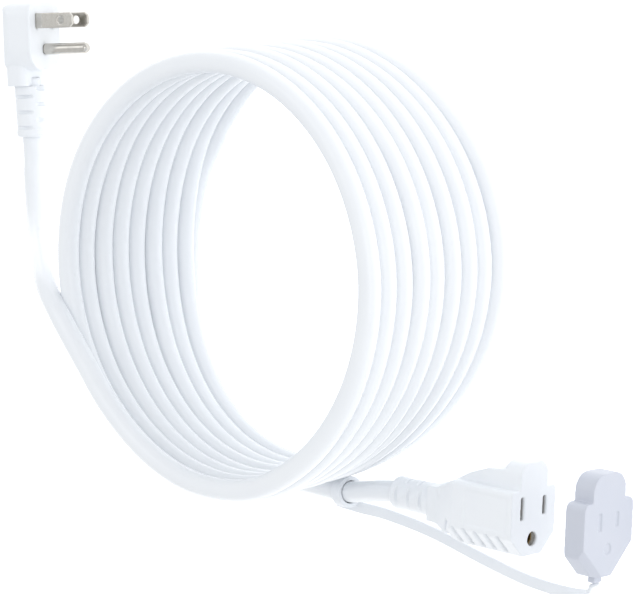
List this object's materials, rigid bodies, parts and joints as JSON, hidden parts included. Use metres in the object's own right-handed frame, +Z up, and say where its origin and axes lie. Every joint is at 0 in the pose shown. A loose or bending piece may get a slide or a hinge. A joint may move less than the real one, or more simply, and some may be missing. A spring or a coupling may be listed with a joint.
{
  "type": "extension cord",
  "caption": "Three-wire indoor and outdoor extension cord in a round coil, with a right-angle flat plug and a grounded connector that has a tethered cap.",
  "frame": {"origin": "on the floor, under the middle of the box round the plug and the connector with its cap", "axes": "+Z up from the floor, along the coil's axis; +Y from the connector towards the plug; +X the way the plug's head points"},
  "size_m": [0.2268, 0.3134, 0.0802],
  "materials": {
    "cord_jacket": "smooth white PVC with a soft sheen",
    "moulded_pvc": "moulded white PVC, slightly less shiny than the cord",
    "cap_pvc": "thin moulded white PVC",
    "strap_pvc": "soft white PVC",
    "nickel_plate": "nickel plated brass",
    "contact_brass": "plain",
    "inner_block": "moulded",
    "black_insulation": "plain",
    "white_insulation": "plain",
    "green_insulation": "plain"
  },
  "bodies": {
    "root": {"cord_coil": "cord_jacket", "cord_plug_lead": "cord_jacket", "cord_connector_lead": "cord_jacket", "plug_body": "moulded_pvc", "plug_strain_relief": "moulded_pvc", "plug_insert": "inner_block", "line_blade": "nickel_plate", "neutral_blade": "nickel_plate", "ground_pin": "nickel_plate", "plug_line_wire": "black_insulation", "plug_neutral_wire": "white_insulation", "plug_ground_wire": "green_insulation", "connector_body": "moulded_pvc", "connector_strain_relief": "moulded_pvc", "connector_insert": "inner_block", "line_contact": "contact_brass", "neutral_contact": "contact_brass", "ground_contact": "contact_brass", "connector_line_wire": "black_insulation", "connector_neutral_wire": "white_insulation", "connector_ground_wire": "green_insulation", "strap_loop": "strap_pvc", "cap_strap": "strap_pvc"},
    "cap": {"cap_body": "cap_pvc"}
  },
  "joints": [
    {"name": "cap_slide", "type": "slide", "parent": "root", "child": "cap", "axis": [0.0872, 0.9962, 0], "range_m": [0, 0.0322], "deforming": ["cap_strap"]}
  ]
}
